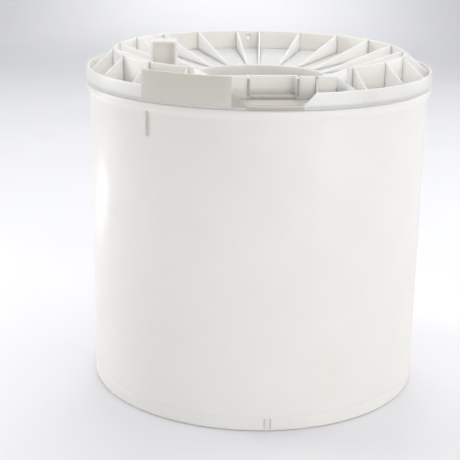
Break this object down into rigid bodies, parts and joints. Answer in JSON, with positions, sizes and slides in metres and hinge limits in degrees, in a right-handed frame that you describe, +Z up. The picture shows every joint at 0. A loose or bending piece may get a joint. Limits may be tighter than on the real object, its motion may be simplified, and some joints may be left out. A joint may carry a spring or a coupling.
{
  "type": "plastic fermenting bucket",
  "caption": "Milky plastic fermenting bucket, nearly straight-sided, with a dished lid stiffened by radial ribs, a notched rim wall, a finger pocket and a hooded vent.",
  "frame": {"origin": "centre of the foot, on the surface the bucket stands on", "axes": "+Z up along the bucket's axis, -Y towards the front notch and finger pocket, +X to the right seen from the front"},
  "size_m": [0.32, 0.32, 0.3262],
  "materials": {
    "tub_plastic": "milky translucent polypropylene, satin gloss",
    "lid_plastic": "milky translucent polypropylene, satin",
    "silicone": "pale soft silicone",
    "mark_plastic": "brown-grey moulded level bar"
  },
  "bodies": {
    "tub": {"tub_shell": "tub_plastic", "level_bar": "mark_plastic"},
    "lid": {"grip_fin_l": "lid_plastic", "grip_fin_r": "lid_plastic", "grip_pocket": "lid_plastic", "grip_wall_l": "lid_plastic", "grip_wall_r": "lid_plastic", "lid_deck": "lid_plastic", "lid_guard": "lid_plastic", "lid_gusset_01_l": "lid_plastic", "lid_gusset_01_r": "lid_plastic", "lid_gusset_02_l": "lid_plastic", "lid_gusset_02_r": "lid_plastic", "lid_gusset_03_l": "lid_plastic", "lid_gusset_03_r": "lid_plastic", "lid_gusset_04_l": "lid_plastic", "lid_gusset_04_r": "lid_plastic", "lid_gusset_05_l": "lid_plastic", "lid_gusset_05_r": "lid_plastic", "lid_gusset_06_l": "lid_plastic", "lid_gusset_06_r": "lid_plastic", "lid_gusset_07_l": "lid_plastic", "lid_gusset_07_r": "lid_plastic", "lid_gusset_08_l": "lid_plastic", "lid_gusset_08_r": "lid_plastic", "lid_gusset_09_l": "lid_plastic", "lid_gusset_09_r": "lid_plastic", "lid_inner_ring": "lid_plastic", "lid_plug_skirt": "lid_plastic", "lid_rib_01_l": "lid_plastic", "lid_rib_01_r": "lid_plastic", "lid_rib_02_l": "lid_plastic", "lid_rib_02_r": "lid_plastic", "lid_rib_03_l": "lid_plastic", "lid_rib_03_r": "lid_plastic", "lid_rib_04_l": "lid_plastic", "lid_rib_04_r": "lid_plastic", "lid_rib_05_l": "lid_plastic", "lid_rib_05_r": "lid_plastic", "lid_rib_06_l": "lid_plastic", "lid_rib_06_r": "lid_plastic", "lid_rib_07_l": "lid_plastic", "lid_rib_07_r": "lid_plastic", "lid_rib_08_l": "lid_plastic", "lid_rib_08_r": "lid_plastic", "lid_rib_09_l": "lid_plastic", "lid_rib_09_r": "lid_plastic", "lid_rib_10_l": "lid_plastic", "lid_rib_10_r": "lid_plastic", "lid_rim_wall": "lid_plastic", "lid_seal": "silicone", "lid_well": "lid_plastic", "vent_tower": "lid_plastic", "well_grommet": "silicone"},
    "stopper": {"well_stopper": "silicone"},
    "valve": {"vent_valve": "silicone"}
  },
  "joints": [
    {"name": "lid_lift", "type": "slide", "parent": "tub", "child": "lid", "axis": [0, 0, 1], "range_m": [0, 0.12]},
    {"name": "stopper_pull", "type": "slide", "parent": "lid", "child": "stopper", "axis": [0, 0, 1], "range_m": [0, 0.07]},
    {"name": "valve_lift", "type": "slide", "parent": "lid", "child": "valve", "axis": [0, 0, 1], "range_m": [0, 0.0014]}
  ]
}
